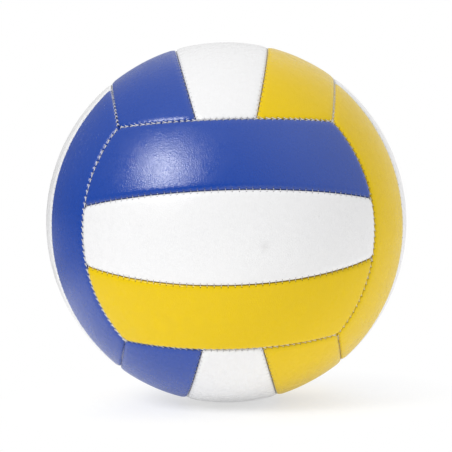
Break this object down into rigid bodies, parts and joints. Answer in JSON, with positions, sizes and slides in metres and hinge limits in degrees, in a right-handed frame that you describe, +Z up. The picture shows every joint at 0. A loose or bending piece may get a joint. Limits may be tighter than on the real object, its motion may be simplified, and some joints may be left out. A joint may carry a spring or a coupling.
{
  "type": "volleyball",
  "caption": "Sewn indoor or beach volleyball with pillowed synthetic leather strips in blue, white and yellow, foam-backed over a rubber bladder with a needle valve.",
  "frame": {"origin": "centre of the ball", "axes": "+Z up, the face in the picture looks along -Y, the valve faces +Y, the ball rests on its -Z side"},
  "size_m": [0.21, 0.2099, 0.2099],
  "materials": {
    "cover_blue": "soft grained PVC, satin",
    "cover_white": "soft grained PVC, satin",
    "cover_yellow": "soft grained PVC, satin",
    "foam": "closed-cell foam, matte",
    "lining": "woven cloth",
    "thread": "twisted polyester thread",
    "bladder_rubber": "smooth, matte",
    "valve_rubber": "smooth, satin"
  },
  "bodies": {
    "ball": {"cover_front_lower": "cover_yellow", "cover_front_middle": "cover_white", "cover_front_upper": "cover_blue", "cover_back_lower": "cover_blue", "cover_back_middle": "cover_white", "cover_back_upper": "cover_yellow", "cover_top_left": "cover_blue", "cover_top_middle": "cover_white", "cover_top_right": "cover_yellow", "cover_bottom_left": "cover_blue", "cover_bottom_middle": "cover_white", "cover_bottom_right": "cover_yellow", "cover_left_back": "cover_yellow", "cover_left_middle": "cover_white", "cover_left_front": "cover_blue", "cover_right_back": "cover_blue", "cover_right_middle": "cover_white", "cover_right_front": "cover_yellow", "foam_front_lower": "foam", "foam_front_middle": "foam", "foam_front_upper": "foam", "foam_back_lower": "foam", "foam_back_middle": "foam", "foam_back_upper": "foam", "foam_top_left": "foam", "foam_top_middle": "foam", "foam_top_right": "foam", "foam_bottom_left": "foam", "foam_bottom_middle": "foam", "foam_bottom_right": "foam", "foam_left_back": "foam", "foam_left_middle": "foam", "foam_left_front": "foam", "foam_right_back": "foam", "foam_right_middle": "foam", "foam_right_front": "foam", "lining_front_lower": "lining", "lining_front_middle": "lining", "lining_front_upper": "lining", "lining_back_lower": "lining", "lining_back_middle": "lining", "lining_back_upper": "lining", "lining_top_left": "lining", "lining_top_middle": "lining", "lining_top_right": "lining", "lining_bottom_left": "lining", "lining_bottom_middle": "lining", "lining_bottom_right": "lining", "lining_left_back": "lining", "lining_left_middle": "lining", "lining_left_front": "lining", "lining_right_back": "lining", "lining_right_middle": "lining", "lining_right_front": "lining", "face_seam_thread": "thread", "strip_seam_thread": "thread", "bladder": "bladder_rubber", "valve_housing": "valve_rubber"},
    "valve_core": {"valve_core": "valve_rubber"}
  },
  "joints": [
    {"name": "valve_core_pull", "type": "slide", "parent": "ball", "child": "valve_core", "axis": [0, 1, 0], "range_m": [0, 0.02]}
  ]
}
